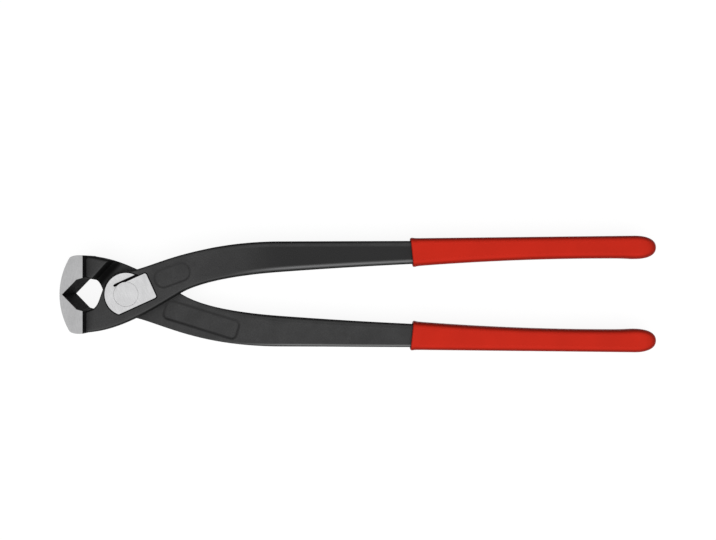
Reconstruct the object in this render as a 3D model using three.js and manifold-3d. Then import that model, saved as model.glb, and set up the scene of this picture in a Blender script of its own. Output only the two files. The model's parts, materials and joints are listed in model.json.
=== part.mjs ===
// Concreters' nippers: two identical forged arms that cross at a riveted lap joint,
// each handle in a plastic sleeve. Millimetres, +Z up. The tool lies on its side with
// the handles towards +X and the pivot axis upright.
import * as THREE from "three";
import { mergeVertices } from "three/addons/utils/BufferGeometryUtils.js";
import Module from "manifold-3d";

// Whole tool
const overallLength = 280;
const jawReach = 29.8; // pivot axis to the cutting edges
const handleSpread = 50.4; // over the outsides of both handles where the sleeves start

// Jaws
const jawWidth = 22; // along the pivot axis, the length of the cutting edges
const jawFrontRadius = 33.8;
const headHeight = 37; // over the outsides of both jaws
const jawFaceLength = 10.7; // ground side face, from the cutting edges back to the step
const cuttingLand = 1.2; // flat behind each cutting edge
const cuttingGap = 0.2; // between the closed cutting edges
const bevelAngle = 46; // degrees from the closing plane to each inner bevel
const bevelDepth = 6.9; // closing plane to the end of the bevel
const pocketDepth = 7.7; // closing plane to the wall of the wire pocket
const cornerDrop = 1.6; // how far below the head's full height the front arc ends
const cornerPull = 1;
const shoulderPull = 3.5;
const stepRun = 0.6; // slope of the step between the jaw and the thinner body
const stepDrop = 0.3; // the body stands this much inside the jaw's outline

// Lap joint
const bodyThickness = 13.2; // both laps together, without the ground pads
const lapGap = 0.2; // between the two laps
const jointRadius = 11.3;
const neckStart = 155; // degrees round the joint where the neck runs into its round
const bowStart = 82; // degrees round the joint where its round runs into the handle
const throatLength = 2.2; // pocket wall between the jaw step and the lap wall
const throatRise = 0.8;
const neckRise = 22; // degrees, slope of the neck where it leaves the lap wall
const neckPull = 3.4;
const roundPull = 6;
const padRise = 0.4; // ground pad above the forged face
const padRoot = 1; // pad below the forged face, inside the forging
const padRadius = 10;
const padReach = 12.5; // along the arm from the pivot
const padAbove = 5.3; // across the arm, towards the outside of the handle
const padBelow = 7.2; // across the arm, towards the crotch
const padTurn = 24.5; // degrees from the tool's axis to the arm at the joint
const grooveWidth = 1.2;
const grooveDepth = 0.6;
const grooveStart = -3; // along the arm from the pivot
const grooveEnd = 8;

// Pivot rivet
const rivetDiameter = 8;
const rivetHeadDiameter = 11.4;
const runningClearance = 0.1; // between the rivet and the arms, all round
const rivetSides = 48;

// Handles
const cheekRise = 6; // degrees, slope of the cheek where it leaves the jaw
const cheekPull = 14;
const crossAngle = 31; // degrees, slope of the cheek where the arms part
const crossPull = 20;
const crotchReach = 24.5; // pivot to the point where the arms part
const crotchGap = 0.7; // between the arms at that point
const bowReach = 72; // pivot to the end of the handle's bow
const bowSpread = 49.6; // over the outsides of both handles there
const bowWidth = 14.2;
const bowRise = 9; // degrees, slope of the outer edge where it leaves the joint
const bowLeavePull = 11;
const bowEndPull = 40;
const innerLeavePull = 9.5;
const innerEndPull = 23;
const innerEndSlope = 4.2; // degrees
const shankThickness = 8.4; // at the end of the bow
const shankPull = 31; // how far that slope carries on towards the sleeve
const mouthWidth = 10.8; // of the shank where the sleeve starts
const mouthThickness = 7.2;
const tangSpread = 52.9; // over the outsides of both tangs at their far ends
const tangWidth = 8.45;
const tangSwell = 0.5; // the tang's inner edge bends this far out on its way
const tangThickness = 5.8;
const tangNose = 5.4; // tapered end of the tang
const tangNoseWidth = 4;
const tangNoseThickness = 3.6;

// Edges
const groundEdge = 0.3;
const forgedEdge = 1.2;
const handleEdge = 1.6;
const edgeSteps = 3;
const fullestEdge = 0.45; // largest round, as a share of the narrower side

// Sleeves
const sleeveLength = 116.8;
const sleeveWall = 1.2;
const sleeveClearance = 0.15;
const sleeveCap = 10.5; // rounded end
const sleeveEndWall = 4.5; // closed end beyond the tang
const mouthSlant = 1.1; // the mouth stands square to the handle, not to the tool
const mouthRound = 0.4;
const capSteps = 7;
const capTurn = 80; // degrees, where the rounded end is cut off flat

// Worked out from the sizes above, in the front arm's frame: pivot at the origin,
// its jaw below the tool's axis and its handle above it
const jawHalf = jawWidth / 2;
const bodyHalf = bodyThickness / 2;
const padTop = bodyHalf + padRise;
const endX = overallLength - jawReach;
const mouthX = endX - sleeveLength;
const tangEndX = endX - sleeveEndWall;
const tangX = tangEndX - tangNose;
const faceX = jawFaceLength - jawReach;
const edgeY = -cuttingGap / 2;

const wasm = await Module();
wasm.setup();

const radians = THREE.MathUtils.degToRad;
const lerp = THREE.MathUtils.lerp;
const at = (x, y) => new THREE.Vector2(x, y);
const line = (from, to) => new THREE.LineCurve(from, to);

// The point a given distance from another, at an angle in degrees.
function beyond(point, angle, distance) {
  const turn = radians(angle);
  return at(
    point.x + distance * Math.cos(turn),
    point.y + distance * Math.sin(turn),
  );
}

// The stretch of a curve between two of its parameters.
class Stretch extends THREE.Curve {
  constructor(curve, from, to) {
    super();
    this.curve = curve;
    this.from = from;
    this.to = to;
  }
  getPoint(t, target = new THREE.Vector2()) {
    return this.curve.getPoint(lerp(this.from, this.to, t), target);
  }
}

// A closed surface carried through rings of equal point counts, flat at both ends.
function loftGeometry(rings) {
  const count = rings[0].length;
  const last = (rings.length - 1) * count;
  const index = [];
  for (let ring = 0; ring < last; ring += count) {
    for (let j = 0; j < count; j++) {
      const next = (j + 1) % count;
      const a = ring + j;
      const b = ring + next;
      const c = a + count;
      const d = b + count;
      index.push(a, c, b, b, c, d);
    }
  }
  for (let j = 1; j < count - 1; j++) {
    index.push(0, j, j + 1);
    index.push(last, last + j + 1, last + j);
  }
  return new THREE.BufferGeometry().setFromPoints(rings.flat()).setIndex(index);
}

function solid(geometry) {
  const bare = geometry.clone();
  bare.deleteAttribute("normal");
  bare.deleteAttribute("uv");
  const merged = mergeVertices(bare, 1e-4);
  return new wasm.Manifold(
    new wasm.Mesh({
      numProp: 3,
      vertProperties: new Float32Array(merged.attributes.position.array),
      triVerts: new Uint32Array(merged.index.array),
    }),
  );
}

function geometryOf(body) {
  const mesh = body.getMesh();
  const geometry = new THREE.BufferGeometry();
  geometry.setAttribute(
    "position",
    new THREE.BufferAttribute(mesh.vertProperties, 3),
  );
  geometry.setIndex(new THREE.BufferAttribute(mesh.triVerts, 1));
  geometry.computeVertexNormals();
  return geometry;
}

// Sections of an arm: its two faces along the pivot axis and the rounds on their edges.
const section = (low, high, lowEdge, highEdge) => ({
  low,
  high,
  lowEdge,
  highEdge,
});
const even = (thickness, edge) =>
  section(-thickness / 2, thickness / 2, edge, edge);
const jawSection = even(jawWidth, groundEdge);
const bodySection = even(bodyThickness, forgedEdge);
const lapSection = section(lapGap / 2, bodyHalf, groundEdge, forgedEdge);
const shankSection = even(shankThickness, handleEdge);
const mouthSection = even(mouthThickness, handleEdge);
const tangSection = even(tangThickness, handleEdge);
const noseSection = even(tangNoseThickness, handleEdge);

function between(from, to, t) {
  return section(
    lerp(from.low, to.low, t),
    lerp(from.high, to.high, t),
    lerp(from.lowEdge, to.lowEdge, t),
    lerp(from.highEdge, to.highEdge, t),
  );
}

// A rounded rectangle standing on the line between two points of the outline.
function ring(pocketPoint, cheekPoint, faces, grow = 0) {
  const across = cheekPoint.clone().sub(pocketPoint);
  const width = across.length() + 2 * grow;
  const direction = across.normalize();
  const start = pocketPoint.clone().addScaledVector(direction, -grow);
  const low = faces.low - grow;
  const high = faces.high + grow;
  const most = fullestEdge * Math.min(width, high - low);
  const lowEdge = Math.min(faces.lowEdge + grow, most);
  const highEdge = Math.min(faces.highEdge + grow, most);
  const corners = [
    [width - highEdge, high - highEdge, highEdge],
    [highEdge, high - highEdge, highEdge],
    [lowEdge, low + lowEdge, lowEdge],
    [width - lowEdge, low + lowEdge, lowEdge],
  ];
  return corners.flatMap(([s, z, radius], quarter) =>
    Array.from({ length: edgeSteps + 1 }, (_, step) => {
      const angle = (Math.PI / 2) * (quarter + step / edgeSteps);
      const along = s + radius * Math.cos(angle);
      return new THREE.Vector3(
        start.x + direction.x * along,
        start.y + direction.y * along,
        z + radius * Math.sin(angle),
      );
    }),
  );
}

// Pocket edge of the arm: cutting edge, wire pocket, round of the joint, outside of the handle
const pivot = at(0, 0);
const landPoint = at(cuttingLand - jawReach, edgeY);
const bevelRun = (bevelDepth + edgeY) / Math.tan(radians(bevelAngle));
const bevelPoint = at(landPoint.x + bevelRun, -bevelDepth);
const pocketFace = at(faceX, -pocketDepth);
const pocketStep = at(faceX + stepRun, -pocketDepth);
const wallPoint = at(pocketStep.x + throatLength, throatRise - pocketDepth);
const neckPoint = beyond(pivot, neckStart, jointRadius);
const neck = new THREE.CubicBezierCurve(
  wallPoint,
  beyond(wallPoint, neckRise, neckPull),
  beyond(neckPoint, neckStart + 90, roundPull),
  neckPoint,
);
const round = new THREE.ArcCurve(
  0,
  0,
  jointRadius,
  radians(neckStart),
  radians(bowStart),
  true,
);
const bowPoint = beyond(pivot, bowStart, jointRadius);
const bowEnd = at(bowReach, bowSpread / 2);
const bow = new THREE.CubicBezierCurve(
  bowPoint,
  beyond(bowPoint, bowRise, bowLeavePull),
  at(bowEnd.x - bowEndPull, bowEnd.y),
  bowEnd,
);
const mouthOut = at(mouthX - mouthSlant / 2, handleSpread / 2);
const tangOut = at(tangX, tangSpread / 2);
const tangOuter = line(mouthOut, tangOut);

// Cheek edge of the arm: cutting edge, outside of the jaw, crotch, inside of the handle
const frontTurn = (drop) => Math.PI + Math.asin(drop / jawFrontRadius);
const frontEnd = frontTurn(headHeight / 2 - cornerDrop);
const jawFront = new THREE.ArcCurve(
  jawFrontRadius - jawReach,
  0,
  jawFrontRadius,
  frontTurn(-edgeY),
  frontEnd,
  false,
);
const frontPoint = jawFront.getPoint(1);
const cheekFace = at(faceX, -headHeight / 2);
const cheekStep = at(faceX + stepRun, stepDrop - headHeight / 2);
const jawCorner = new THREE.CubicBezierCurve(
  frontPoint,
  beyond(frontPoint, THREE.MathUtils.radToDeg(frontEnd) + 90, cornerPull),
  at(cheekFace.x - shoulderPull, cheekFace.y),
  cheekFace,
);
const crotch = at(crotchReach, crotchGap / 2);
const cheek = new THREE.CubicBezierCurve(
  cheekStep,
  beyond(cheekStep, cheekRise, cheekPull),
  beyond(crotch, crossAngle, -crossPull),
  crotch,
);
const bowInner = at(bowReach, bowSpread / 2 - bowWidth);
const inner = new THREE.CubicBezierCurve(
  crotch,
  beyond(crotch, crossAngle, innerLeavePull),
  beyond(bowInner, innerEndSlope, -innerEndPull),
  bowInner,
);
const mouthIn = at(mouthX + mouthSlant / 2, handleSpread / 2 - mouthWidth);
const shankIn = new THREE.QuadraticBezierCurve(
  bowInner,
  beyond(bowInner, innerEndSlope, shankPull),
  mouthIn,
);
const tangIn = at(tangX, tangSpread / 2 - tangWidth);
const tangInner = new THREE.QuadraticBezierCurve(
  mouthIn,
  at((mouthIn.x + tangIn.x) / 2, tangIn.y + tangSwell),
  tangIn,
);
const tangMiddle = (tangOut.y + tangIn.y) / 2;
const noseOut = at(tangEndX, tangMiddle + tangNoseWidth / 2);
const noseIn = at(tangEndX, tangMiddle - tangNoseWidth / 2);

// The arm is carried through these stretches: its two edges, how many steps, and its faces
// at both ends. Where the cheek is shared out, the shares keep each step square to the arm.
const tangSteps = 6;
const wallShare = 0.06;
const cheekShares = { wall: 0.255, floor: 0.28, round: 0.42, bow: 0.62 };
const crossShare = 0.37;
const tangStretch = [tangOuter, tangInner, tangSteps, mouthSection, tangSection];
const stretches = [
  [line(landPoint, bevelPoint), jawFront, 8, jawSection, jawSection],
  [line(bevelPoint, pocketFace), jawCorner, 4, jawSection, jawSection],
  [line(pocketFace, pocketStep), line(cheekFace, cheekStep), 1, jawSection, bodySection],
  [line(pocketStep, wallPoint), new Stretch(cheek, 0, cheekShares.wall), 4, bodySection, bodySection],
  [
    new Stretch(neck, 0, wallShare),
    new Stretch(cheek, cheekShares.wall, cheekShares.floor),
    1,
    bodySection,
    lapSection,
  ],
  [
    new Stretch(neck, wallShare, 1),
    new Stretch(cheek, cheekShares.floor, cheekShares.round),
    6,
    lapSection,
    lapSection,
  ],
  [round, new Stretch(cheek, cheekShares.round, cheekShares.bow), 10, lapSection, lapSection],
  [new Stretch(bow, 0, crossShare), new Stretch(cheek, cheekShares.bow, 1), 5, lapSection, lapSection],
  [new Stretch(bow, crossShare, 1), inner, 12, lapSection, shankSection],
  [line(bowEnd, mouthOut), shankIn, 5, shankSection, mouthSection],
  tangStretch,
  [line(tangOut, noseOut), line(tangIn, noseIn), 1, tangSection, noseSection],
];

function stretchRing([pocketEdge, cheekEdge, , from, to], t, grow) {
  const faces = between(from, to, THREE.MathUtils.smoothstep(t, 0, 1));
  return ring(pocketEdge.getPoint(t), cheekEdge.getPoint(t), faces, grow);
}

function stretchRings(stretch) {
  const steps = stretch[2];
  return Array.from({ length: steps }, (_, i) => stretchRing(stretch, (i + 1) / steps));
}

// The rivet's profile, out from the axis, grown all round for the bore that it turns in.
function rivetGeometry(grow, top) {
  const shank = rivetDiameter / 2 + grow;
  const head = rivetHeadDiameter / 2 + grow;
  const coneEnd = padTop - (rivetHeadDiameter - rivetDiameter) / 2;
  const profile = [
    at(0, -top),
    at(head, -top),
    at(head, -padTop),
    at(shank, -coneEnd),
    at(shank, coneEnd),
    at(head, padTop),
    at(head, top),
    at(0, top),
  ];
  const points = profile.filter((p, i) => i === 0 || p.distanceTo(profile[i - 1]) > 0);
  return new THREE.LatheGeometry(points, rivetSides).rotateX(Math.PI / 2);
}

// Ground pad on the joint: a disc with a square tail along the arm, cut off below.
function padSolid() {
  const below = Math.asin(padBelow / padRadius);
  const above = Math.asin(padAbove / padRadius);
  const outline = new THREE.Shape();
  outline.absarc(0, 0, padRadius, Math.PI + below, above, true);
  outline.lineTo(padReach, padAbove);
  outline.lineTo(padReach, -padBelow);
  const pad = new THREE.ExtrudeGeometry(outline, {
    depth: padRoot + padRise,
    bevelEnabled: false,
    curveSegments: 32,
  });
  pad.translate(0, 0, bodyHalf - padRoot);
  return solid(pad.rotateZ(radians(padTurn)));
}

// Straight groove across the pad, beside the outside of the arm.
function grooveSolid() {
  const half = grooveWidth / 2;
  const across = padAbove + half;
  const outline = new THREE.Shape();
  outline.absarc(grooveStart, across, half, Math.PI / 2, -Math.PI / 2, false);
  outline.absarc(grooveEnd, across, half, -Math.PI / 2, Math.PI / 2, false);
  const groove = new THREE.ExtrudeGeometry(outline, {
    depth: grooveDepth + padRise,
    bevelEnabled: false,
    curveSegments: 6,
  });
  groove.translate(0, 0, padTop - grooveDepth);
  return solid(groove.rotateZ(radians(padTurn)));
}

function armGeometry() {
  const rings = [
    ring(landPoint, jawFront.getPoint(0), jawSection),
    ...stretches.flatMap(stretchRings),
  ];
  const bore = solid(rivetGeometry(runningClearance, padTop + padRise));
  return geometryOf(
    solid(loftGeometry(rings))
      .add(padSolid())
      .subtract(grooveSolid())
      .subtract(bore),
  );
}

// Sleeve: the tang's own rings grown by the wall, run out into a rounded end, with the
// tang's rings grown by the clearance taken out.
function sleeveGeometry() {
  const shareAt = (x) => (x - mouthX) / (tangX - mouthX);
  const alongTang = Array.from({ length: tangSteps }, (_, i) => i / tangSteps);
  const tangRing = (share, grow) => stretchRing(tangStretch, share, grow);
  const skin = [
    tangRing(0, sleeveWall - mouthRound),
    tangRing(shareAt(mouthX + mouthRound), sleeveWall),
    ...alongTang.slice(1).map((share) => tangRing(share, sleeveWall)),
    tangRing(shareAt(endX - sleeveCap), sleeveWall),
  ];
  const capRing = skin.at(-1);
  const middle = capRing
    .reduce((sum, point) => sum.add(point), new THREE.Vector3())
    .divideScalar(capRing.length);
  const lastTurn = radians(capTurn);
  for (let step = 1; step <= capSteps; step++) {
    const turn = (lastTurn * step) / capSteps;
    const shrink = Math.cos(turn);
    const advance = ((endX - middle.x) * Math.sin(turn)) / Math.sin(lastTurn);
    skin.push(
      capRing.map((point) =>
        point
          .clone()
          .sub(middle)
          .multiplyScalar(shrink)
          .add(middle)
          .add(new THREE.Vector3(advance, 0, 0)),
      ),
    );
  }
  const hollow = [
    tangRing(shareAt(mouthX - mouthSlant), sleeveClearance),
    ...alongTang.map((share) => tangRing(share, sleeveClearance)),
    tangRing(1, sleeveClearance),
    ring(noseOut, noseIn, noseSection, sleeveClearance).map((point) =>
      point.add(new THREE.Vector3(sleeveClearance, 0, 0)),
    ),
  ];
  return geometryOf(
    solid(loftGeometry(skin)).subtract(solid(loftGeometry(hollow))),
  );
}

function piece(name, geometry, look) {
  const mesh = new THREE.Mesh(geometry, new THREE.MeshStandardMaterial(look));
  mesh.name = name;
  return mesh;
}

const blackSteel = { color: 0x3e3e40, roughness: 0.5, metalness: 0.4 };
const groundSteel = { color: 0xb2b3b5, roughness: 0.4, metalness: 1 };
const redPlastic = { color: 0xc62d1f, roughness: 0.4, metalness: 0 };

const arm = armGeometry();
const sleeve = sleeveGeometry();

// The rear half of the tool is the front half turned over about the tool's axis.
const frontHalf = new THREE.Group();
frontHalf.add(piece("front_arm", arm, blackSteel), piece("front_grip", sleeve, redPlastic));
const rearHalf = new THREE.Group();
rearHalf.add(piece("rear_arm", arm, blackSteel), piece("rear_grip", sleeve, redPlastic));
rearHalf.rotation.x = Math.PI;

const mechanism = new THREE.Group();
mechanism.add(frontHalf, rearHalf);
mechanism.add(piece("pivot_rivet", rivetGeometry(0, padTop), groundSteel));
mechanism.position.set(jawReach - overallLength / 2, 0, jawHalf);

const nippers = new THREE.Group();
nippers.add(mechanism);

export default nippers;
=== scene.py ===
import json

import bpy
import numpy as np
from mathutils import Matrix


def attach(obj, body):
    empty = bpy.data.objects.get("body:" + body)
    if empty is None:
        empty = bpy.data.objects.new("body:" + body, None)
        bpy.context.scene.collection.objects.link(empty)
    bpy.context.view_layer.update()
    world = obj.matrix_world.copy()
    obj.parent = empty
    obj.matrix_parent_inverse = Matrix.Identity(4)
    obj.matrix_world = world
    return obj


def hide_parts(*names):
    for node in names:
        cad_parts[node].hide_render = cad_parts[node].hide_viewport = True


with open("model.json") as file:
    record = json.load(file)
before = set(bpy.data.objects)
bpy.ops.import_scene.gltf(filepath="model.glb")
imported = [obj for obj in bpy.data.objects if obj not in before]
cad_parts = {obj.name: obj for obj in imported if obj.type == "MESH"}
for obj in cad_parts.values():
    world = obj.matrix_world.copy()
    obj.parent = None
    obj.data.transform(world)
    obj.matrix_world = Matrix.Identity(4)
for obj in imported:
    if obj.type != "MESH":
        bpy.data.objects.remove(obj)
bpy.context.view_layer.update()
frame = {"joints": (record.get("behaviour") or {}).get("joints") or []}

# Shapes are worked out in millimetres with the pivot at the origin, then moved to the frame
pivotPlace = np.array(frame["joints"][0]["pos_m"])
millimetre = 0.001


def toFrame(points):
    return points * millimetre + pivotPlace


def turned(points):
    # half a turn about the tool's long axis, which carries the front half onto the rear half
    return points * np.array([1.0, -1.0, -1.0])


# Curves in the plane of the arms: each takes parameters 0..1 and gives points


def at(x, y):
    return np.array([x, y], float)


def beyond(point, degrees, distance):
    # the point that lies a distance away in a direction
    turn = np.radians(degrees)
    return point + distance * at(np.cos(turn), np.sin(turn))


def straight(a, b):
    return lambda t: a + (b - a) * t[:, None]


def bezier(*controls):
    # de Casteljau: neighbouring controls are mixed by t until one point is left
    def curve(t):
        points = [np.broadcast_to(c, (len(t), 2)) for c in controls]
        while len(points) > 1:
            points = [p + (q - p) * t[:, None] for p, q in zip(points, points[1:])]
        return points[0]

    return curve


def circleArc(centre, radius, start, end):
    # centre plus radius times (cos, sin) of an angle that runs evenly from start to end
    def curve(t):
        turn = np.radians(start + (end - start) * t)
        return centre + radius * np.stack([np.cos(turn), np.sin(turn)], 1)

    return curve


# Numbers that change along a shape


def easeInOut(t):
    # 3t^2 - 2t^3, level at both ends
    t = np.clip(t, 0, 1)
    return t * t * (3 - 2 * t)


def eased(value, start, end):
    # 0 at start and 1 at end, eased in between; the end may lie below the start
    return easeInOut((value - start) / (end - start))


def rollOver(t):
    # 1 - sqrt(1 - t^2): level at first and steep at the end, as over a quarter circle
    return 1 - np.sqrt(np.clip(1 - t * t, 0, 1))


def bell(distance, spread):
    # exp(-d^2) of a distance counted in spreads
    return np.exp(-(distance / spread) ** 2)


# Meshes from grids


def ringFaces(rings, sides):
    ring, side = np.meshgrid(np.arange(rings - 1), np.arange(sides), indexing="ij")
    beside = (side + 1) % sides
    corners = [ring * sides + side, (ring + 1) * sides + side,
               (ring + 1) * sides + beside, ring * sides + beside]
    return np.stack(corners, -1).reshape(-1, 4)


def ringMesh(name, points, finishes, faceFinish=None, capFinish=(0, 0)):
    # points is a grid of rings by sides; every ring joins the next and both ends are closed flat
    rings, sides = points.shape[:2]
    faces = ringFaces(rings, sides).tolist()
    faces.append(list(range(sides)))
    faces.append(list(range(rings * sides - 1, (rings - 1) * sides - 1, -1)))
    mesh = bpy.data.meshes.new(name)
    mesh.from_pydata(toFrame(points.reshape(-1, 3)).tolist(), [], faces)
    for finish in finishes:
        mesh.materials.append(finish)
    if faceFinish is not None:
        index = np.concatenate([faceFinish.reshape(-1), np.array(capFinish)])
        mesh.polygons.foreach_set("material_index", index.astype(np.int32))
    mesh.validate()
    thing = bpy.data.objects.new(name, mesh)
    bpy.context.scene.collection.objects.link(thing)
    return thing


def shadeEdges(thing, degrees):
    mesh = thing.data
    mesh.polygons.foreach_set("use_smooth", np.ones(len(mesh.polygons), bool))
    mesh.set_sharp_from_angle(angle=np.radians(degrees))
    mesh.update()


def vertexPlaces(mesh):
    spots = np.empty(len(mesh.vertices) * 3)
    mesh.vertices.foreach_get("co", spots)
    return spots.reshape(-1, 3)


def vertexNormals(mesh):
    normals = np.empty(len(mesh.vertices) * 3, np.float32)
    mesh.vertex_normals.foreach_get("vector", normals)
    return normals.reshape(-1, 3)


def storeValues(mesh, name, values):
    layer = mesh.attributes.new(name, "FLOAT", "POINT")
    layer.data.foreach_set("value", values.astype(np.float32))


def combine(body, tool, operation):
    # cuts the tool out of the body or joins it on, and leaves only the body
    change = body.modifiers.new(operation.lower(), "BOOLEAN")
    change.operation = operation
    change.object = tool
    change.solver = "EXACT"
    graph = bpy.context.evaluated_depsgraph_get()
    made = bpy.data.meshes.new_from_object(body.evaluated_get(graph))
    body.modifiers.clear()
    old = body.data
    body.data = made
    made.name = old.name
    bpy.data.meshes.remove(old)
    bpy.data.objects.remove(tool)


# Finishes


class Wire:
    # one socket of a node tree; sums and products of wires and numbers add Math nodes
    def __init__(self, tree, socket=None):
        self.tree = tree
        self.socket = socket

    def node(self, kind, settings, inputs, output=0):
        made = self.tree.nodes.new(kind)
        for name, value in settings.items():
            setattr(made, name, value)
        for name, value in inputs.items():
            if isinstance(value, Wire):
                self.tree.links.new(value.socket, made.inputs[name])
            else:
                made.inputs[name].default_value = value
        return Wire(self.tree, made.outputs[output] if made.outputs else None)

    def maths(self, operation, a, b):
        return self.node("ShaderNodeMath", {"operation": operation}, {0: a, 1: b})

    def __add__(self, other):
        return self.maths("ADD", self, other)

    __radd__ = __add__

    def __sub__(self, other):
        return self.maths("SUBTRACT", self, other)

    def __rsub__(self, other):
        return self.maths("SUBTRACT", other, self)

    def __mul__(self, other):
        return self.maths("MULTIPLY", self, other)

    __rmul__ = __mul__

    def between(self, low, high):
        # 0 below low, 1 above high, eased in between
        return self.node("ShaderNodeMapRange", {"interpolation_type": "SMOOTHSTEP"},
                         {"Value": self, "From Min": low, "From Max": high})

    def mixed(self, a, b):
        # colour a where this wire is 0, colour b where it is 1
        return self.node("ShaderNodeMix", {"data_type": "RGBA"},
                         {"Factor": self, 6: a, 7: b}, output=2)


noiseMiddle = 0.5  # the level that noise swings about
blueShare = 1.01  # steel's greys lean a little to blue


def newFinish(name):
    finish = bpy.data.materials.new(name)
    finish.use_nodes = True
    tree = finish.node_tree
    tree.nodes.clear()
    return finish, Wire(tree)


def place(wires, turn=0.0, size=(1, 1, 1)):
    # Object coordinates about the pivot, turned about its axis and then stretched
    where = wires.node("ShaderNodeTexCoord", {}, {}, output="Object")
    centred = wires.node("ShaderNodeMapping", {"vector_type": "TEXTURE"},
                         {"Vector": where, "Location": tuple(pivotPlace),
                          "Rotation": (0, 0, np.radians(turn))})
    return wires.node("ShaderNodeVectorMath", {"operation": "MULTIPLY"}, {0: centred, 1: size})


def noise(wires, where, scale, detail=3.0, roughness=0.5):
    return wires.node("ShaderNodeTexNoise", {"noise_dimensions": "3D"},
                      {"Vector": where, "Scale": scale, "Detail": detail, "Roughness": roughness})


def swing(wire):
    return wire - noiseMiddle


def attribute(wires, name):
    return wires.node("ShaderNodeAttribute", {"attribute_name": name}, {}, output="Fac")


def bump(wires, height, distance):
    return wires.node("ShaderNodeBump", {}, {"Height": height, "Distance": distance})


def principled(wires, values):
    return wires.node("ShaderNodeBsdfPrincipled", {}, values)


def close(wires, surface):
    wires.node("ShaderNodeOutputMaterial", {}, {"Surface": surface})


def grey(value):
    return (value, value, value * blueShare, 1.0)


def spreadGreys(value, spread):
    # the same grey, darker and lighter by a share of itself
    return grey(value * (1 - spread)), grey(value * (1 + spread))


forgingLook = dict(
    # among these greys are a painted highlight and a painted shade, near black
    shade=0.034, pale=0.046, worn=0.055, highlightGrey=0.185, dark=0.0155, shadeBlack=0.006,
    rough=0.5, mottleRough=0.14, grainRough=0.1, polish=0.16, specular=0.2,
    flank=0.013, flankSpread=0.2, flankRough=0.62, flankSpecular=0.012,
    grain=2200, grainSharp=0.6, mottle=110, mottleDetail=4.0, speck=0.45,
    faceRange=(0.3, 0.7), flankRange=(0.25, 0.75), rubRange=(0.45, 1.05), rubPlain=0.7, rubGrain=0.6,
    bumpDepth=0.00012, mottleBump=0.6,
)


def makeBlackForging(look):
    # faces carry a light worn scale, flanks stay dark, by the flank attribute; painted shade and a
    # painted highlight are mixed in
    finish, wires = newFinish("black_forging")
    where = place(wires)
    mottle = noise(wires, where, look["mottle"], detail=look["mottleDetail"])
    grain = noise(wires, where, look["grain"], roughness=look["grainSharp"])
    wear, paintedShade, dim, paintedHighlight, flank = (attribute(wires, name)
                                    for name in ("wear", "paintedShade", "dim", "paintedHighlight", "flank"))
    dark, shadeBlack = grey(look["dark"]), grey(look["shadeBlack"])
    cloudy = mottle.between(*look["faceRange"]).mixed(grey(look["shade"]), grey(look["pale"]))
    tone = (grain.between(*look["faceRange"]) * look["speck"]).mixed(cloudy, dark)
    rubbed = (wear * (look["rubPlain"] + grain * look["rubGrain"])).between(*look["rubRange"])
    bare = rubbed.mixed(dim.mixed(tone, dark), grey(look["worn"]))
    # painted highlight along the two handle edges that face the box
    bare = paintedHighlight.mixed(bare, grey(look["highlightGrey"]))
    black = mottle.between(*look["flankRange"]).mixed(*spreadGreys(look["flank"], look["flankSpread"]))
    skin = bump(wires, grain + mottle * look["mottleBump"], look["bumpDepth"])
    face = principled(wires, {
        # painted shade in the pocket, on the lap, in the gutter and along the fields' rims
        "Base Color": paintedShade.mixed(bare, shadeBlack),
        "Roughness": (look["rough"] + swing(mottle) * look["mottleRough"]
                      + swing(grain) * look["grainRough"] - rubbed * look["polish"]),
        "Specular IOR Level": look["specular"],
        "Normal": skin,
    })
    side = principled(wires, {
        "Base Color": paintedShade.mixed(black, shadeBlack),
        "Roughness": look["flankRough"] + swing(grain) * look["grainRough"],
        "Specular IOR Level": look["flankSpecular"],
        "Normal": skin,
    })
    close(wires, wires.node("ShaderNodeMixShader", {}, {0: flank, 1: face, 2: side}))
    return finish


groundLook = dict(
    lines=5200, squeeze=(1.0, 0.06, 1.0), cloud=160, grit=2600, fineDetail=2.0,
    lineShare=0.4, gritShare=0.3, cloudShare=0.3, toneRange=(0.3, 0.7), toneSpread=0.14,
    lineRough=0.24, cloudRough=0.1, bumpDepth=0.000014, gritBump=0.5,
)
jawLook = dict(shade=0.465, turn=0, rough=0.44)
padLook = dict(shade=0.66, turn=24.5, rough=0.42)


def makeGroundSteel(name, shade, turn, rough):
    # grinding lines run across the arm: noise squeezed along one axis and drawn out along the other
    look = groundLook
    finish, wires = newFinish(name)
    lines = noise(wires, place(wires, turn, look["squeeze"]), look["lines"], detail=look["fineDetail"])
    cloud = noise(wires, place(wires), look["cloud"])
    grit = noise(wires, place(wires), look["grit"], detail=look["fineDetail"])
    tone = lines * look["lineShare"] + grit * look["gritShare"] + cloud * look["cloudShare"]
    close(wires, principled(wires, {
        "Base Color": tone.between(*look["toneRange"]).mixed(*spreadGreys(shade, look["toneSpread"])),
        "Metallic": 1.0,
        "Roughness": rough + swing(lines) * look["lineRough"] + swing(cloud) * look["cloudRough"],
        "Normal": bump(wires, lines + grit * look["gritBump"], look["bumpDepth"]),
    }))
    return finish


sleeveLook = dict(
    # side is the painted shade on the sleeve's steep sides and tip
    red=(0.58, 0.0235, 0.0112, 1.0), deep=(0.53, 0.0215, 0.0102, 1.0), side=(0.31, 0.0138, 0.0066, 1.0),
    cloud=70, cloudRange=(0.25, 0.75), peel=1500, peelDetail=2.0,
    rough=0.45, cloudRough=0.12, peelRough=0.06, specular=0.07, bumpDepth=0.00004,
)


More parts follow.
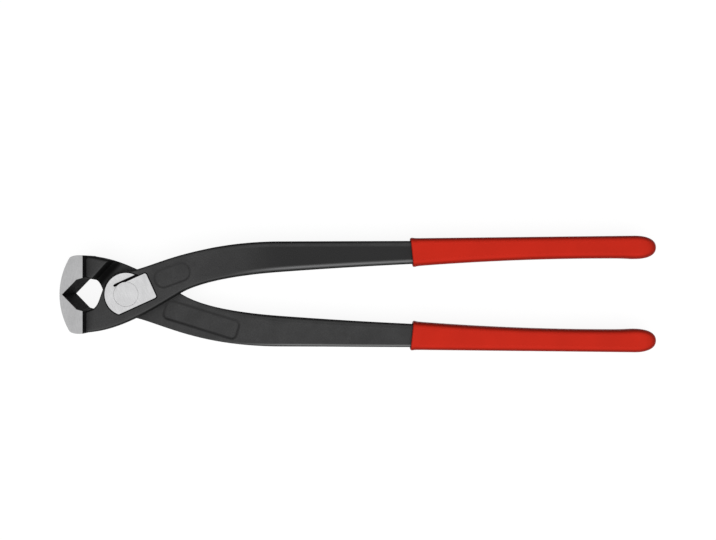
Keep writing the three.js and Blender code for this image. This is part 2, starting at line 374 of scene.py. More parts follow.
def makeRedSleeve(look):
    # smooth red with a faint cloud, and painted shade: deeper where the flank attribute says that the
    # surface stands steep
    finish, wires = newFinish("red_sleeve")
    where = place(wires)
    peel = noise(wires, where, look["peel"], detail=look["peelDetail"])
    cloud = noise(wires, where, look["cloud"])
    top = cloud.between(*look["cloudRange"]).mixed(look["deep"], look["red"])
    close(wires, principled(wires, {
        # painted shade on the steep sides and the tip
        "Base Color": attribute(wires, "flank").mixed(top, look["side"]),
        "Roughness": look["rough"] + swing(cloud) * look["cloudRough"] + swing(peel) * look["peelRough"],
        "Specular IOR Level": look["specular"],
        "Normal": bump(wires, peel, look["bumpDepth"]),
    }))
    return finish


groundPad = makeGroundSteel("ground_pad", **padLook)
armFinishes = [makeBlackForging(forgingLook), makeGroundSteel("ground_jaw", **jawLook), groundPad]
blackIndex, jawIndex, padIndex = range(3)  # places in that list
redSleeve = makeRedSleeve(sleeveLook)
print("finishes made")

# Arms

arm = dict(
    # jaw: cutting edge, bevel, pocket, round front and the step down to the joint
    jawReach=29.8, jawHalf=11, jawFrontRadius=33.8, headHalf=18.5, faceX=-19.1,
    cuttingLand=1.2, edgeY=-0.005, partingChamfer=0.14, bevelAngle=46, bevelDepth=6.9, pocketDepth=7.7,
    cornerDrop=1.6, cornerPull=1, shoulderPull=3.5, shoulderDrop=0.3, stepRun=0.6, stepDrop=0.3,
    # joint: lap, wall, round about the pivot, cheek on the other side
    bodyHalf=6.6, lapFace=0.1, wallRoll=1.2, jointRadius=11.3, neckStart=155, bowStart=82,
    throatLength=2.2, throatRise=0.8, neckRise=22, neckPull=3.4, roundPull=6,
    cheekRise=6, cheekPull=14, crossAngle=31, crossPull=20, crotch=(24.5, 0.35),
    # bow and shank
    bowReach=72, bowHalf=25.0, bowWidth=14.55, bowRise=9, bowLeavePull=11, bowEndPull=40,
    innerLeavePull=9.5, innerEndPull=23, innerEndSlope=4.2, shankHalf=4.2, shankPull=31,
    mouthX=134.08, mouthSlant=1.1, handleHalf=25.2, mouthWidth=10.95, mouthHalf=3.6,
    # tang inside the sleeve, and the sleeve's end
    tangX=240.3, tangOut=26.45, tangWidth=8.45, tangSwell=0.5, tangHalf=2.9,
    noseX=245.7, noseWidth=4, noseHalf=1.8, endX=250.2,
    # rounds, how many times larger they are on the inner and on the cheek side, and drafts
    groundEdge=0.18, forgedEdge=1.2, handleEdge=1.5, innerRound=1.6, cheekRound=1.6,
    forgedDraft=0.035, handleDraft=0.1, fullestRound=0.45,
    # shares of a curve at which its stretches end; the cheek's: throat, roll, wall, neck and round
    partingEnd=0.012, throatEnd=0.5, wallEnd=0.06, crossEnd=0.37,
    cheekEnds=(0.225, 0.255, 0.28, 0.42, 0.62),
    # mesh
    cornerSteps=7, faceSteps=60, sideSteps=8, sharpAngle=34,
)


def armCurves(a):
    # both edges of the front arm, from the cutting edge to the end of the tang
    pivot = at(0, 0)
    land = at(a["cuttingLand"] - a["jawReach"], a["edgeY"])
    run = (a["bevelDepth"] + a["edgeY"]) / np.tan(np.radians(a["bevelAngle"]))
    bevel = at(land[0] + run, -a["bevelDepth"])
    pocketFace = at(a["faceX"], -a["pocketDepth"])
    pocketStep = pocketFace + at(a["stepRun"], 0)
    wall = pocketStep + at(a["throatLength"], a["throatRise"])
    neckEnd = beyond(pivot, a["neckStart"], a["jointRadius"])
    bowFoot = beyond(pivot, a["bowStart"], a["jointRadius"])
    bowEnd = at(a["bowReach"], a["bowHalf"])
    mouthOut = at(a["mouthX"] - a["mouthSlant"] / 2, a["handleHalf"])
    tangOut = at(a["tangX"], a["tangOut"])
    frontDrop = a["headHalf"] - a["cornerDrop"]
    frontEnd = 180 + np.degrees(np.arcsin(frontDrop / a["jawFrontRadius"]))
    frontStart = 180 + np.degrees(np.arcsin(a["partingChamfer"] / a["jawFrontRadius"]))
    frontCentre = at(a["jawFrontRadius"] - a["jawReach"], 0)
    frontLip = at(a["partingChamfer"] - a["jawReach"], a["edgeY"])
    frontFoot = beyond(frontCentre, frontEnd, a["jawFrontRadius"])
    cheekFace = at(a["faceX"], a["shoulderDrop"] - a["headHalf"])
    cheekStep = at(a["faceX"] + a["stepRun"], a["stepDrop"] - a["headHalf"])
    crotch = at(*a["crotch"])
    bowInner = at(a["bowReach"], a["bowHalf"] - a["bowWidth"])
    mouthIn = at(a["mouthX"] + a["mouthSlant"] / 2, a["handleHalf"] - a["mouthWidth"])
    tangIn = at(a["tangX"], a["tangOut"] - a["tangWidth"])
    noseMiddle = (tangOut[1] + tangIn[1]) / 2
    noseOut = at(a["noseX"], noseMiddle + a["noseWidth"] / 2)
    noseIn = at(a["noseX"], noseMiddle - a["noseWidth"] / 2)
    return dict(
        bevel=straight(land, bevel),
        shoulder=straight(bevel, pocketFace),
        pocketStep=straight(pocketFace, pocketStep),
        throat=straight(pocketStep, wall),
        neck=bezier(wall, beyond(wall, a["neckRise"], a["neckPull"]),
                    beyond(neckEnd, a["neckStart"] + 90, a["roundPull"]), neckEnd),
        round=circleArc(pivot, a["jointRadius"], a["neckStart"], a["bowStart"]),
        bow=bezier(bowFoot, beyond(bowFoot, a["bowRise"], a["bowLeavePull"]),
                   bowEnd - at(a["bowEndPull"], 0), bowEnd),
        shankOut=straight(bowEnd, mouthOut),
        tangOut=straight(mouthOut, tangOut),
        noseOut=straight(tangOut, noseOut),
        parting=straight(frontLip, beyond(frontCentre, frontStart, a["jawFrontRadius"])),
        jawFront=circleArc(frontCentre, a["jawFrontRadius"], frontStart, frontEnd),
        jawCorner=bezier(frontFoot, beyond(frontFoot, frontEnd + 90, a["cornerPull"]),
                         cheekFace - at(a["shoulderPull"], a["shoulderDrop"]), cheekFace),
        cheekStep=straight(cheekFace, cheekStep),
        cheek=bezier(cheekStep, beyond(cheekStep, a["cheekRise"], a["cheekPull"]),
                     beyond(crotch, a["crossAngle"], -a["crossPull"]), crotch),
        inner=bezier(crotch, beyond(crotch, a["crossAngle"], a["innerLeavePull"]),
                     beyond(bowInner, a["innerEndSlope"], -a["innerEndPull"]), bowInner),
        shankIn=bezier(bowInner, beyond(bowInner, a["innerEndSlope"], a["shankPull"]), mouthIn),
        tangIn=bezier(mouthIn, at((mouthIn[0] + tangIn[0]) / 2, tangIn[1] + a["tangSwell"]), tangIn),
        noseIn=straight(tangIn, noseIn),
    )


curves = armCurves(arm)


def span(name, start=0, end=1):
    # part of a curve, run through once as t goes from 0 to 1
    return lambda t: curves[name](start + (end - start) * t)


# Faces of a section: lower face, upper face, round on the lower and on the upper edges, draft, and how
# many times larger the rounds are on the cheek side


def evenFaces(half, edge, draft=0, larger=1):
    return np.array([-half, half, edge, edge, draft, larger], float)


jawFaces = evenFaces(arm["jawHalf"], arm["groundEdge"])
bodyFaces = evenFaces(arm["bodyHalf"], arm["forgedEdge"], arm["forgedDraft"], arm["cheekRound"])
rolledFaces = bodyFaces + np.array([arm["wallRoll"], 0, 0, 0, 0, 0])
lapFaces = np.array([arm["lapFace"], arm["bodyHalf"], arm["groundEdge"], arm["forgedEdge"],
                     arm["forgedDraft"], arm["cheekRound"]])
shankFaces = evenFaces(arm["shankHalf"], arm["handleEdge"], arm["handleDraft"], arm["innerRound"])
mouthFaces = evenFaces(arm["mouthHalf"], arm["handleEdge"], arm["forgedDraft"], arm["innerRound"])
tangFaces = evenFaces(arm["tangHalf"], arm["handleEdge"])
noseFaces = evenFaces(arm["noseHalf"], arm["handleEdge"])

partingEnd = arm["partingEnd"]
throatEnd = arm["throatEnd"]
wallEnd = arm["wallEnd"]
crossEnd = arm["crossEnd"]
throatShare, rollShare, wallShare, neckShare, roundShare = arm["cheekEnds"]

# name, pocket edge, cheek edge, steps, faces at both ends
stretches = [
    ("parting", span("bevel", 0, partingEnd), span("parting"), 2, jawFaces, jawFaces),
    ("bevel", span("bevel", partingEnd, 1), span("jawFront"), 26, jawFaces, jawFaces),
    ("shoulder", span("shoulder"), span("jawCorner"), 14, jawFaces, jawFaces),
    ("step", span("pocketStep"), span("cheekStep"), 8, jawFaces, bodyFaces),
    ("throat", span("throat", 0, throatEnd), span("cheek", 0, throatShare), 14, bodyFaces, bodyFaces),
    ("roll", span("throat", throatEnd, 1), span("cheek", throatShare, rollShare), 12,
     bodyFaces, rolledFaces),
    ("wall", span("neck", 0, wallEnd), span("cheek", rollShare, wallShare), 10, rolledFaces, lapFaces),
    ("neck", span("neck", wallEnd, 1), span("cheek", wallShare, neckShare), 22, lapFaces, lapFaces),
    ("round", span("round"), span("cheek", neckShare, roundShare), 34, lapFaces, lapFaces),
    ("crossing", span("bow", 0, crossEnd), span("cheek", roundShare, 1), 60, lapFaces, lapFaces),
    ("joggle", span("bow", crossEnd, 1), span("inner"), 170, lapFaces, shankFaces),
    ("shank", span("shankOut"), span("shankIn"), 50, shankFaces, mouthFaces),
    ("tang", span("tangOut"), span("tangIn"), 24, mouthFaces, tangFaces),
    ("nose", span("noseOut"), span("noseIn"), 3, tangFaces, noseFaces),
]


def roundedSections(pocket, cheek, faces, steps, grow=0.0):
    # rounded rectangles standing on the lines from pocket to cheek: quarter circles centred one
    # edge radius in from the corners, joined by evenly divided sides; the draft draws every point
    # in towards the middle by its height times the draft
    cornerSteps, faceSteps, sideSteps = steps
    line = cheek - pocket
    length = np.linalg.norm(line, axis=1, keepdims=True)
    direction = line / length
    grow = np.broadcast_to(np.reshape(grow, (-1, 1)), length.shape)
    width = length + 2 * grow
    low, high, lowEdge, highEdge, taper, larger = (faces[:, i:i + 1] for i in range(6))
    low, high = low - grow, high + grow
    most = arm["fullestRound"] * np.minimum(width, high - low)
    lowCheek = np.minimum(lowEdge * larger + grow, most)
    highCheek = np.minimum(highEdge * larger + grow, most)
    lowEdge, highEdge = np.minimum(lowEdge + grow, most), np.minimum(highEdge + grow, most)
    quarter = np.linspace(0, np.pi / 2, cornerSteps + 1)
    centres = [(width - highCheek, high - highCheek, highCheek), (highEdge, high - highEdge, highEdge),
               (lowEdge, low + lowEdge, lowEdge), (width - lowCheek, low + lowCheek, lowCheek)]
    arcs = [(s + r * np.cos(quarter + q * np.pi / 2), z + r * np.sin(quarter + q * np.pi / 2))
            for q, (s, z, r) in enumerate(centres)]
    across, upright = [], []
    for q, count in enumerate((faceSteps, sideSteps, faceSteps, sideSteps)):
        share = np.arange(1, count) / count
        for columns, i in ((across, 0), (upright, 1)):
            begin, end = arcs[q][i][:, -1:], arcs[(q + 1) % 4][i][:, :1]
            columns.append(arcs[q][i])
            columns.append(begin + (end - begin) * share)
    across, upright = np.concatenate(across, 1), np.concatenate(upright, 1)
    across = across + taper * np.abs(upright) * (1 - 2 * across / width)
    flat = (pocket[:, None] - direction[:, None] * grow[:, None]
            + direction[:, None] * across[..., None])
    return np.concatenate([flat, upright[..., None]], 2)


panels = [
    # shallow bare fields forged into the arm: face, middle, length and width, turn, corner radius,
    # depth, and how dark the painted shade along the rim is
    dict(face=1, middle=(21.5, 8.9), size=(17.0, 8.4), turn=20.0, corner=4.1, depth=0.4, rimShade=0.25),
    dict(face=-1, middle=(34.3, 12.2), size=(36.5, 8.9), turn=16.6, corner=2.4, depth=0.6, rimShade=0.45),
]
panelWall = 1.0


def panelDistance(points, panel):
    # signed distance to a rounded rectangle: below 0 inside, above 0 outside
    turn = np.radians(panel["turn"])
    offset = points[..., :2] - np.array(panel["middle"])
    along = offset[..., 0] * np.cos(turn) + offset[..., 1] * np.sin(turn)
    across = offset[..., 1] * np.cos(turn) - offset[..., 0] * np.sin(turn)
    corner = panel["corner"]
    reachX = np.abs(along) - panel["size"][0] / 2 + corner
    reachY = np.abs(across) - panel["size"][1] / 2 + corner
    outside = np.hypot(np.maximum(reachX, 0), np.maximum(reachY, 0))
    return outside + np.minimum(np.maximum(reachX, reachY), 0) - corner


def armSurface():
    # the arm's skin: u runs through the stretches, v round the section; faces change by easing
    pocket, cheek, faces, names = [], [], [], []
    for name, outer, inner, steps, begin, end in stretches:
        t = np.linspace(0, 1, steps + 1)
        if names:
            t = t[1:]
        pocket.append(outer(t))
        cheek.append(inner(t))
        ease = rollOver if name == "roll" else easeInOut
        faces.append(begin + (end - begin) * ease(t)[:, None])
        names += [name] * len(t)
    steps = (arm["cornerSteps"], arm["faceSteps"], arm["sideSteps"])
    points = roundedSections(np.concatenate(pocket), np.concatenate(cheek), np.concatenate(faces), steps)
    quarter, face, side = steps
    upper = slice(quarter + 1, quarter + face)
    lower = slice(3 * quarter + face + side + 1, 3 * quarter + 2 * face + side)
    for panel in panels:
        columns = upper if panel["face"] > 0 else lower
        share = easeInOut(0.5 - panelDistance(points[:, columns], panel) / panelWall)
        points[:, columns, 2] -= panel["face"] * panel["depth"] * share
    names = np.array(names)
    # finish of every face of the grid: ground jaw sides and fronts, black elsewhere
    finish = np.full((len(names) - 1, points.shape[1]), blackIndex)
    column = np.arange(points.shape[1])
    pocketSide = (column >= 2 * quarter + face - 1) & (column <= 2 * quarter + face + side)
    ground = np.isin(names[1:], ["parting", "bevel", "shoulder"])
    finish[np.ix_(ground, ~pocketSide)] = jawIndex
    cheekSide = (column >= 4 * quarter + 2 * face + side - 1) | (column == 0)
    finish[np.ix_(names[1:] == "shoulder", cheekSide)] = blackIndex
    return points, finish


padShape = dict(radius=10, reach=12.6, above=5.3, below=7.2, turn=24.5, top=7.0, root=5.4,
                corner=0.9, edge=0.1, edgeMiddle=0.3, flatStart=3, arcSteps=120, cornerSteps=9)
# the tip's corners: along in millimetres, across in half widths
grooveShape = dict(start=-3.8, end=8.2, low=5.3, high=6.6, floor=5.9, top=8,
                   tipAlong=(1.0, 0, 0.4), tipAcross=(1.0, 0.3, -1.0), bendSteps=13)
gutterShape = dict(width=0.5, floor=5.9, top=8)
boreShape = dict(shank=4.1, head=5.8, coneEnd=5.3, top=7.0, clear=8.5, sides=96)


def stackedOutline(outline, levels):
    # one closed outline repeated at heights, each copy drawn in along its own normals
    step = np.roll(outline, -1, 0) - np.roll(outline, 1, 0)
    inward = np.stack([-step[:, 1], step[:, 0]], 1) / np.linalg.norm(step, axis=1, keepdims=True)
    rings = [np.column_stack([outline + inward * inset, np.full(len(outline), z)])
             for z, inset in levels]
    return np.array(rings)[:, ::-1]


def turnedOutline(along, across):
    turn = np.radians(padShape["turn"])
    return np.stack([along * np.cos(turn) - across * np.sin(turn),
                     along * np.sin(turn) + across * np.cos(turn)], 1)


def padOutline():
    # a circle about the pivot, cut off along its lower chord and run out into a square tail
    p = padShape
    chord = np.arcsin(p["below"] / p["radius"])
    meet = np.arcsin(p["above"] / p["radius"])
    arc = np.linspace(meet, np.pi + chord, p["arcSteps"])
    bend = np.linspace(-np.pi / 2, 0, p["cornerSteps"])
    inside = p["reach"] - p["corner"]
    along = np.concatenate([inside + p["corner"] * np.cos(bend),
                            inside + p["corner"] * np.cos(bend + np.pi / 2),
                            p["radius"] * np.cos(arc)])
    across = np.concatenate([p["corner"] * np.sin(bend) - p["below"] + p["corner"],
                             p["corner"] * np.sin(bend + np.pi / 2) + p["above"] - p["corner"],
                             p["radius"] * np.sin(arc)])
    return turnedOutline(along, across)


def makePad():
    # the pad's outline raised from its root and drawn in over the broken edge at its top
    p = padShape
    middle = p["edge"] * p["edgeMiddle"]
    levels = [(p["root"], 0), (p["top"] - p["edge"], 0), (p["top"] - middle, middle),
              (p["top"], p["edge"]), (p["top"], p["edge"] * p["flatStart"])]
    points = stackedOutline(padOutline(), levels)
    finish = np.full((len(levels) - 1, points.shape[1]), padIndex)
    finish[0] = blackIndex
    return ringMesh("pad", points, armFinishes, finish, (blackIndex, padIndex))


def makeGutter():
    # the pad's outline grown by the gutter's width; the pad then stands in the hollow that it cuts
    g = gutterShape
    points = stackedOutline(padOutline(), [(g["floor"], -g["width"]), (g["top"], -g["width"])])
    return ringMesh("gutter", points, armFinishes)


def makeGroove():
    # a slot along the tail's upper edge, round at one end and pointed at the jaw end
    g = grooveShape
    middle = (g["low"] + g["high"]) / 2
    half = (g["high"] - g["low"]) / 2
    bend = np.linspace(-np.pi / 2, np.pi / 2, g["bendSteps"])
    along = np.concatenate([g["end"] + half * np.cos(bend), g["start"] + np.array(g["tipAlong"])])
    across = middle + half * np.concatenate([np.sin(bend), g["tipAcross"]])
    points = stackedOutline(turnedOutline(along, across), [(g["floor"], 0), (g["top"], 0)])
    return ringMesh("groove", points, armFinishes)


def spun(profile, sides):
    # a profile of radii r and heights h carried round the pivot axis: (r cos v, r sin v, h)
    radii, heights = np.array(profile, float).T[..., None]
    turn = np.linspace(0, 2 * np.pi, sides, endpoint=False)
    points = np.stack([radii * np.cos(turn), radii * np.sin(turn),
                       np.broadcast_to(heights, (len(radii), sides))], 2)
    return points[:, ::-1]


def mirrored(half):
    # a profile's upper half after its mirror image below; a point on the middle plane isn't repeated
    return [(radius, -height) for radius, height in half[::-1] if height > 0] + half


def makeBore():
    # straight for the rivet's shank, a cone to each head, straight out of the pad
    b = boreShape
    half = [(b["shank"], b["coneEnd"]), (b["head"], b["top"]), (b["head"], b["clear"])]
    return ringMesh("bore", spun(mirrored(half), b["sides"]), armFinishes)


# where painted shade and painted highlights lie, where one handle face is darker and where surfaces
# count as steep; pairs are where a change starts and where it is complete
paintedShading = dict(
    edgeSamples=25, pocketReach=0.9, pocketLean=0.9, bevelMiddle=-22.5, bevelSpread=3.5, bevelShade=0.1,
    lapHeight=(1.2, 0.2), lapFront=(-0.6, 0.4), lapFade=(2.8, 5.4), lapLeft=0.1, lapReach=(15.0, 20.0),
    floorBand=0.02, rimShadeWidth=0.55, dimRun=(36.0, 76.0), dimInset=(2.1, 3.0),
    highlightRun=(45.0, 80.0), highlightLean=0.45, highlightSpread=0.2,
    steep=(0.8, 0.42), rimSteep=(0.995, 0.7), rimRun=(20.0, 12.0), edgeGain=5,
)


def edgePoints(names, count):
    t = np.linspace(0, 1, count)
    return np.concatenate([curves[name](t) for name in names])


def pocketShade(g, x, y, upright):
    # painted shade on the pocket's wall, eased out with the distance to the pocket edge, thin amid the
    # bevels
    edge = edgePoints(("bevel", "shoulder", "pocketStep", "throat", "neck"), g["edgeSamples"])
    nearest = np.hypot(x[:, None] - edge[:, 0], y[:, None] - edge[:, 1]).min(1)
    paintedShade = eased(nearest, g["pocketReach"], 0) * (np.abs(upright) < g["pocketLean"])
    return paintedShade * (1 - (1 - g["bevelShade"]) * bell(x - g["bevelMiddle"], g["bevelSpread"]))


def lapShade(g, x, y, z):
    # painted shade on the lap, full in the corner under its wall, eased down with the distance from that
    # wall and gone beyond a distance from the pivot
    foot = curves["neck"](np.zeros(1))[0]
    wall = curves["cheek"](np.array([rollShare]))[0] - foot
    inward = at(-wall[1], wall[0]) / np.linalg.norm(wall)
    depth = (x - foot[0]) * inward[0] + (y - foot[1]) * inward[1]
    lapDarkness = 1 - (1 - g["lapLeft"]) * eased(depth, *g["lapFade"])
    lapDarkness *= eased(depth, *g["lapFront"]) * eased(z, *g["lapHeight"])
    return lapDarkness * (1 - eased(np.hypot(x, y), *g["lapReach"]))


def gutterShade(g, x, y, z):
    # painted shade all over the floor of the gutter
    return (np.abs(z - gutterShape["floor"]) < g["floorBand"]) & (np.hypot(x, y) < g["lapReach"][1])


def panelRimShade(g, x, y, upright):
    # painted shade along the rims of the bare fields, a bell over the distance from the rim
    flat = np.stack([x, y], 1)
    return np.max([panel["rimShade"] * bell(panelDistance(flat, panel), g["rimShadeWidth"])
                   * easeInOut(upright * panel["face"]) for panel in panels], axis=0)


def handleDim(g, x, y, upright):
    # darker on one face of the handle, eased in along the handle and gone near its outer edge
    outer = edgePoints(("bow", "shankOut", "tangOut"), g["edgeSamples"])
    inset = np.interp(x, outer[:, 0], outer[:, 1]) - y
    return eased(x, *g["dimRun"]) * eased(inset, *g["dimInset"]) * (upright > 0)


def handleHighlight(g, x, sideways, upright):
    # painted highlight: a light line on the two opposite edges of the handle that face the box, a bell
    # over the lean of the normal
    lean = np.sqrt(np.clip(1 - upright ** 2, 0, 1))
    line = bell(lean - g["highlightLean"], g["highlightSpread"]) * easeInOut(-g["edgeGain"] * sideways * upright)
    return line * eased(x, *g["highlightRun"])


def flankShare(g, x, sideways, upright):
    # 0 on the flat faces and 1 where the surface stands steep, for the forging's dark flanks; sooner on
    # the two edges that face away from the box, which is painted shade: on one all along the arm, on the
    # other at the head
    rim = easeInOut(g["edgeGain"] * sideways * upright)
    rim *= np.maximum(upright > 0, eased(x, *g["rimRun"]))
    high, low = (plain + (edged - plain) * rim for plain, edged in zip(g["steep"], g["rimSteep"]))
    return eased(np.abs(upright), high, low)


def markWearAndShading(thing, g):
    # wear is 4 n^2 (1 - n^2) of the normal's share n along the pivot axis: fullest on the rounded edges
    mesh = thing.data
    sideways, upright = vertexNormals(mesh).T[1:]
    x, y, z = ((vertexPlaces(mesh) - pivotPlace) / millimetre).T
    paintedShade = np.max([pocketShade(g, x, y, upright), lapShade(g, x, y, z), gutterShade(g, x, y, z),
                  panelRimShade(g, x, y, upright)], axis=0)
    storeValues(mesh, "wear", 4 * upright ** 2 * (1 - upright ** 2))
    storeValues(mesh, "paintedShade", paintedShade)
    storeValues(mesh, "dim", handleDim(g, x, y, upright))
    storeValues(mesh, "paintedHighlight", handleHighlight(g, x, sideways, upright))
    # the flank share also takes the painted shade, and with it the dark flank finish
    storeValues(mesh, "flank", np.maximum(flankShare(g, x, sideways, upright), paintedShade))


def makeArms():
    # the rear arm is a copy of the finished front arm, turned over
    points, finish = armSurface()
    front = ringMesh("front_arm_forging", points, armFinishes, finish, (jawIndex, blackIndex))
    combine(front, makeGutter(), "DIFFERENCE")
    combine(front, makePad(), "UNION")
    combine(front, makeGroove(), "DIFFERENCE")
    combine(front, makeBore(), "DIFFERENCE")
    markWearAndShading(front, paintedShading)
    rear = bpy.data.objects.new("rear_arm_forging", front.data.copy())
    bpy.context.scene.collection.objects.link(rear)
    spots = turned(vertexPlaces(rear.data) - pivotPlace) + pivotPlace
    rear.data.vertices.foreach_set("co", spots.reshape(-1))
    rear.data.name = "rear_arm_forging"
    for thing, node, body in ((front, "front_arm", "front_half"), (rear, "rear_arm", "rear_half")):
        shadeEdges(thing, arm["sharpAngle"])
        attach(thing, body)
        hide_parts(node)
    print("arms:", len(front.data.polygons), "faces each")


makeArms()

# Rivet

rivet = dict(shank=4.0, head=5.73, coneEnd=5.3, top=7.0, chamfer=0.04, flatShare=0.5,
             sides=96, sharpAngle=30)


def makeRivet(r):
    # both heads flush with the pads: straight shank, cone to the head, broken rim
    half = [(r["shank"], 0), (r["shank"], r["coneEnd"]), (r["head"], r["top"] - r["chamfer"]),
            (r["head"] - r["chamfer"], r["top"]), (r["head"] * r["flatShare"], r["top"])]
    thing = ringMesh("pivot_rivet_flush", spun(mirrored(half), r["sides"]), [groundPad])
    shadeEdges(thing, r["sharpAngle"])
    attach(thing, "rear_half")
    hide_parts("pivot_rivet")


makeRivet(rivet)
print("rivet made")

# Sleeves

sleeve = dict(
    wall=1.2, clearance=0.15, lip=0.8, bead=0.28, beadRun=1.8, swell=0.22, swellAt=239.5, swellRun=4.0,
    cap=10.5, capPower=2.4, capTurn=0.985, tipShare=0.3,
    steep=(0.985, 0.7), tipLean=0.2, sharpAngle=50,
    innerRings=24, lipRings=13, rings=96, capRings=30, cornerSteps=12, faceSteps=16, sideSteps=10,
)


def tangRings(t, grow, steps):
    # rounded rectangles on the tang's edges, grown outwards; faces ease from the mouth's to the tang's
    faces = mouthFaces + (tangFaces - mouthFaces) * easeInOut(t)[:, None]
    faces[:, 4:] = tangFaces[4:]
    return roundedSections(curves["tangOut"](t), curves["tangIn"](t), faces, steps, grow)


def sleeveCap(s, last):
    # the last ring carried to the tip: as u goes from 0 to 1 it shrinks by (1 - u^p)^(1/p) and turns
    # from the rounded rectangle into an ellipse of the same reach by u^2
    heart = last.mean(0)
    u = np.sin(np.linspace(0, 1, s["capRings"] + 1)[1:] * np.pi / 2 * s["capTurn"])
    u /= u[-1]
    shrink = np.maximum(1 - u ** s["capPower"], 0.0) ** (1 / s["capPower"])
    shrink[-1] = shrink[-2] * s["tipShare"]
    offset = last - heart
    reach = np.abs(offset).max(0)
    turn = np.arctan2(offset[:, 2] / reach[2], offset[:, 1] / reach[1])
    oval = heart + np.stack([offset[:, 0], reach[1] * np.cos(turn), reach[2] * np.sin(turn)], 1)
    section = last + (oval - last) * (u ** 2)[:, None, None]
    cap = heart + (section - heart) * shrink[:, None, None]
    cap[..., 0] += u[:, None] * (arm["endX"] - heart[0])
    return cap


def sleeveSurface(s):
    # u runs out of the hollow, round the lip and along the outside to the closed end; the outside stands
    # off the tang by the wall and, near the mouth, by a bead that falls off as a bell over the run
    steps = (s["cornerSteps"], s["faceSteps"], s["sideSteps"])
    length = arm["tangX"] - arm["mouthX"]
    lipShare = s["lip"] / length
    capShare = (arm["endX"] - s["cap"] - arm["mouthX"]) / length
    nose = roundedSections(curves["noseOut"](np.ones(1)), curves["noseIn"](np.ones(1)),
                           noseFaces[None], steps, s["clearance"])
    nose[..., 0] += s["clearance"]
    within = tangRings(np.linspace(1, lipShare, s["innerRings"]), s["clearance"], steps)
    turn = np.linspace(0, np.pi, s["lipRings"])
    middle = (s["wall"] + s["clearance"]) / 2
    reach = (s["wall"] - s["clearance"]) / 2
    lip = tangRings(s["lip"] * (1 - np.sin(turn)) / length,
                    middle - reach * np.cos(turn) + s["bead"] * (1 - np.cos(turn)) / 2, steps)
    t = np.linspace(lipShare, capShare, s["rings"])[1:]
    run = t * length
    skin = tangRings(t, s["wall"] + s["bead"] * bell(run, s["beadRun"]), steps)
    # near the closed end the side towards the other handle swells, less the nearer the outer side
    swell = s["swell"] * bell(run + arm["mouthX"] - s["swellAt"], s["swellRun"])
    outer, inner = skin[..., 1].max(1, keepdims=True), skin[..., 1].min(1, keepdims=True)
    skin[..., 1] -= swell[:, None] * eased(skin[..., 1], outer, inner)
    return np.concatenate([nose, within[:-1], lip, skin, sleeveCap(s, skin[-1])])


def markSteep(thing, s):
    # flank is 0 on top and 1 where the surface stands steep, sooner the more it faces the tip: where the
    # sleeve's painted shade lies
    ahead, upright = vertexNormals(thing.data).T[[0, 2]]
    level = np.abs(upright) - s["tipLean"] * np.maximum(ahead, 0)
    storeValues(thing.data, "flank", eased(level, *s["steep"]))


def makeSleeves(s):
    points = sleeveSurface(s)
    rear = turned(points)
    for name, grid, node, body in (("front_grip_sleeve", points, "front_grip", "front_half"),
                                   ("rear_grip_sleeve", rear, "rear_grip", "rear_half")):
        thing = ringMesh(name, grid, [redSleeve])
        markSteep(thing, s)
        shadeEdges(thing, s["sharpAngle"])
        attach(thing, body)
        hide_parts(node)
    print("sleeves:", points.shape[0], "rings of", points.shape[1])


makeSleeves(sleeve)

# Floor, light and camera

studio = dict(
    floorHalf=0.8, floorWhite=0.9, floorDim=0.14, floorGlow=1.06, glowShare=0.85, worldLevel=0.07,
    boxLevel=18.2, boxSize=(2.2, 1.2), boxPlace=(0.0, -0.32, 0.95),
)
view = dict(place=(-0.00153, 0.01138, 0.449), lens=46.3, sensor=36.0, nearest=0.01, farthest=20)


def seenShare(wires):
    # 1 for what the camera sees, straight, mirrored or through something clear
    seen, mirror, through = (wires.node("ShaderNodeLightPath", {}, {}, output="Is %s Ray" % kind)
                             for kind in ("Camera", "Glossy", "Transmission"))
    return seen + mirror + through


def matt(wires, level):
    return wires.node("ShaderNodeBsdfDiffuse", {}, {"Color": (level, level, level, 1)})


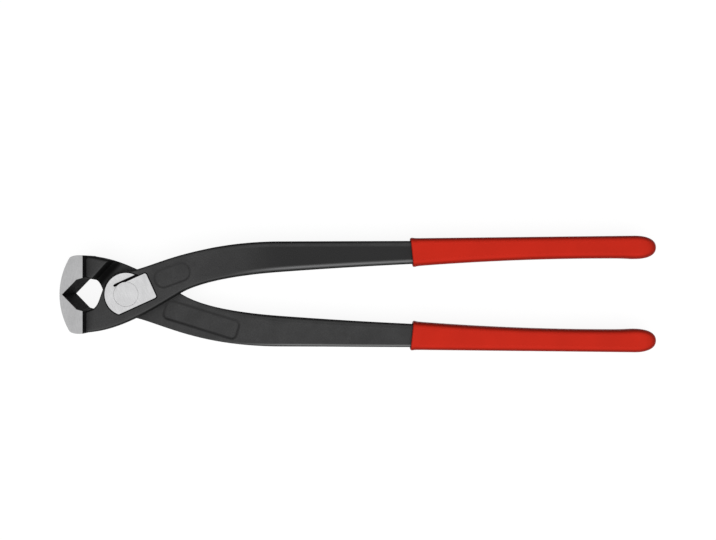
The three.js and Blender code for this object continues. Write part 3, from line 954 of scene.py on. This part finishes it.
def makeFloor(s):
    # white to the camera and dim to the object, so that little light comes back up from it
    half = s["floorHalf"]
    mesh = bpy.data.meshes.new("floor")
    mesh.from_pydata([(-half, -half, 0), (half, -half, 0), (half, half, 0), (-half, half, 0)], [],
                     [(0, 1, 2, 3)])
    finish, wires = newFinish("white_floor")
    glow = wires.node("ShaderNodeEmission", {}, {"Strength": s["floorGlow"]})
    white = wires.node("ShaderNodeMixShader", {},
                       {0: s["glowShare"], 1: matt(wires, s["floorWhite"]), 2: glow})
    close(wires, wires.node("ShaderNodeMixShader", {},
                            {0: seenShare(wires), 1: matt(wires, s["floorDim"]), 2: white}))
    mesh.materials.append(finish)
    floor = bpy.data.objects.new("floor", mesh)
    bpy.context.scene.collection.objects.link(floor)


def makeBox(s):
    # a wide soft box over the tool, leaned towards it; the steel mirrors the white world, not the box
    lamp = bpy.data.lights.new("overhead_box", "AREA")
    lamp.shape = "RECTANGLE"
    lamp.size, lamp.size_y = s["boxSize"]
    lamp.energy = s["boxLevel"]
    thing = bpy.data.objects.new("overhead_box", lamp)
    thing.location = s["boxPlace"]
    thing.rotation_euler = (np.arctan2(-s["boxPlace"][1], s["boxPlace"][2]), 0, 0)
    thing.visible_glossy = False
    bpy.context.scene.collection.objects.link(thing)


def makeWorld(s):
    world = bpy.data.worlds.new("studio")
    world.use_nodes = True
    tree = world.node_tree
    tree.nodes.clear()
    wires = Wire(tree)
    level = s["worldLevel"] + seenShare(wires) * (1.0 - s["worldLevel"])
    surface = wires.node("ShaderNodeBackground", {}, {"Color": (1, 1, 1, 1), "Strength": level})
    wires.node("ShaderNodeOutputWorld", {}, {"Surface": surface})
    bpy.context.scene.world = world


def makeCamera(v):
    lens = bpy.data.cameras.new("camera")
    lens.lens, lens.sensor_width, lens.sensor_fit = v["lens"], v["sensor"], "HORIZONTAL"
    lens.clip_start, lens.clip_end = v["nearest"], v["farthest"]
    thing = bpy.data.objects.new("camera", lens)
    thing.location = v["place"]
    bpy.context.scene.collection.objects.link(thing)
    bpy.context.scene.camera = thing


makeFloor(studio)
makeBox(studio)
makeWorld(studio)
makeCamera(view)
bpy.context.scene.view_settings.view_transform = "Standard"
print("studio set")
